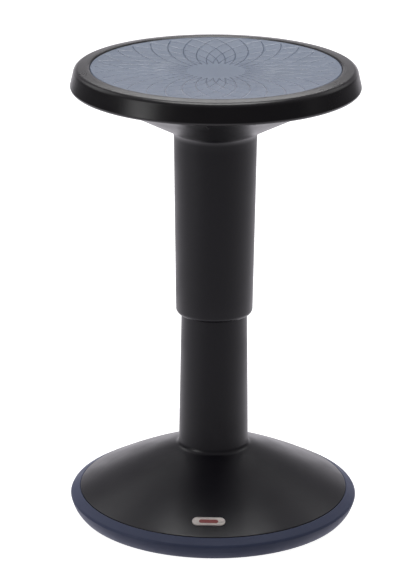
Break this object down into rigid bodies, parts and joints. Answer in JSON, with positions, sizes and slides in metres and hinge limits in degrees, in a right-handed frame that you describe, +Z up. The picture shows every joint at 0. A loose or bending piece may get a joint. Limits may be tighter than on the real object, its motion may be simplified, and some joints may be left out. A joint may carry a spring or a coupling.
{
  "type": "wobble stool",
  "caption": "Height-adjustable wobble stool: round padded seat on telescoping sleeves over a gas spring, on a weighted base with a domed rocking sole and a rubber ring.",
  "frame": {"origin": "on the floor under the centre of the base, where the sole's flat middle rests", "axes": "+Z up along the column and the gas spring; -Y to the front, the side with the badge"},
  "size_m": [0.339, 0.339, 0.552],
  "materials": {
    "shell_plastic": "satin",
    "rim_plastic": "satin",
    "pan_plastic": "matte",
    "paddle_plastic": "satin",
    "pad_rubber": "matte",
    "ring_rubber": "matte",
    "sole_rubber": "matte",
    "inner_rubber": "matte",
    "nylon": "satin",
    "aluminium": "satin",
    "badge_metal": "satin",
    "cast_iron": "matte",
    "black_steel": "satin",
    "zinc_steel": "satin",
    "chrome": "polished",
    "brass": "satin"
  },
  "bodies": {
    "base": {"sole_pad": "sole_rubber", "base_pan": "pan_plastic", "base_ring": "ring_rubber", "base_shell": "shell_plastic", "base_hub": "cast_iron", "hub_bolts": "zinc_steel", "hub_nuts": "zinc_steel", "counterweight": "cast_iron", "weight_screws": "zinc_steel", "base_screws": "zinc_steel", "stand_tube": "black_steel", "guide_bush": "nylon", "badge": "badge_metal", "bearing_race_lower": "zinc_steel"},
    "bearing_cage": {"bearing_cage": "zinc_steel", "bearing_balls": "chrome"},
    "rod": {"piston_rod": "chrome", "rod_clip": "zinc_steel", "rod_washer": "zinc_steel", "end_buffer": "inner_rubber", "bearing_race_upper": "zinc_steel", "piston": "aluminium", "piston_seal": "inner_rubber", "piston_nut": "zinc_steel"},
    "seat": {"gas_cylinder": "black_steel", "rod_guide": "nylon", "valve_body": "aluminium", "seat_plate": "black_steel", "plate_bolts": "zinc_steel", "plate_inserts": "brass", "seat_pan": "rim_plastic", "seat_shell": "shell_plastic", "shell_screws": "zinc_steel", "seat_pad": "pad_rubber", "lever_pin": "zinc_steel", "pivot_clip": "zinc_steel"},
    "lever": {"release_lever": "black_steel", "lever_paddle": "paddle_plastic"},
    "release_pin": {"release_pin": "zinc_steel"}
  },
  "joints": [
    {"name": "seat_swivel", "type": "hinge", "parent": "base", "child": "rod", "pos_m": [0, 0, 0.0266], "axis": [0, 0, 1], "continuous": true},
    {"name": "bearing_cage_spin", "type": "hinge", "parent": "base", "child": "bearing_cage", "pos_m": [0, 0, 0.0266], "axis": [0, 0, 1], "continuous": true},
    {"name": "height_lift", "type": "slide", "parent": "rod", "child": "seat", "axis": [0, 0, 1], "range_m": [-0.133, 0.057]},
    {"name": "lever_press", "type": "hinge", "parent": "seat", "child": "lever", "pos_m": [-0.0059, -0.03348, 0.522], "axis": [-0.9848, 0.1736, 0], "range_deg": [0, 4.2], "stiffness_Nm_per_rad": 2, "springref_deg": -4.58},
    {"name": "release_pin_travel", "type": "slide", "parent": "seat", "child": "release_pin", "axis": [0, 0, 1], "range_m": [-0.0025, 0]}
  ],
  "couplings": [
    {"joint": "bearing_cage_spin", "follows": "seat_swivel", "ratio": 0.5},
    {"joint": "release_pin_travel", "follows": "lever_press", "m_per_rad": -0.034}
  ]
}
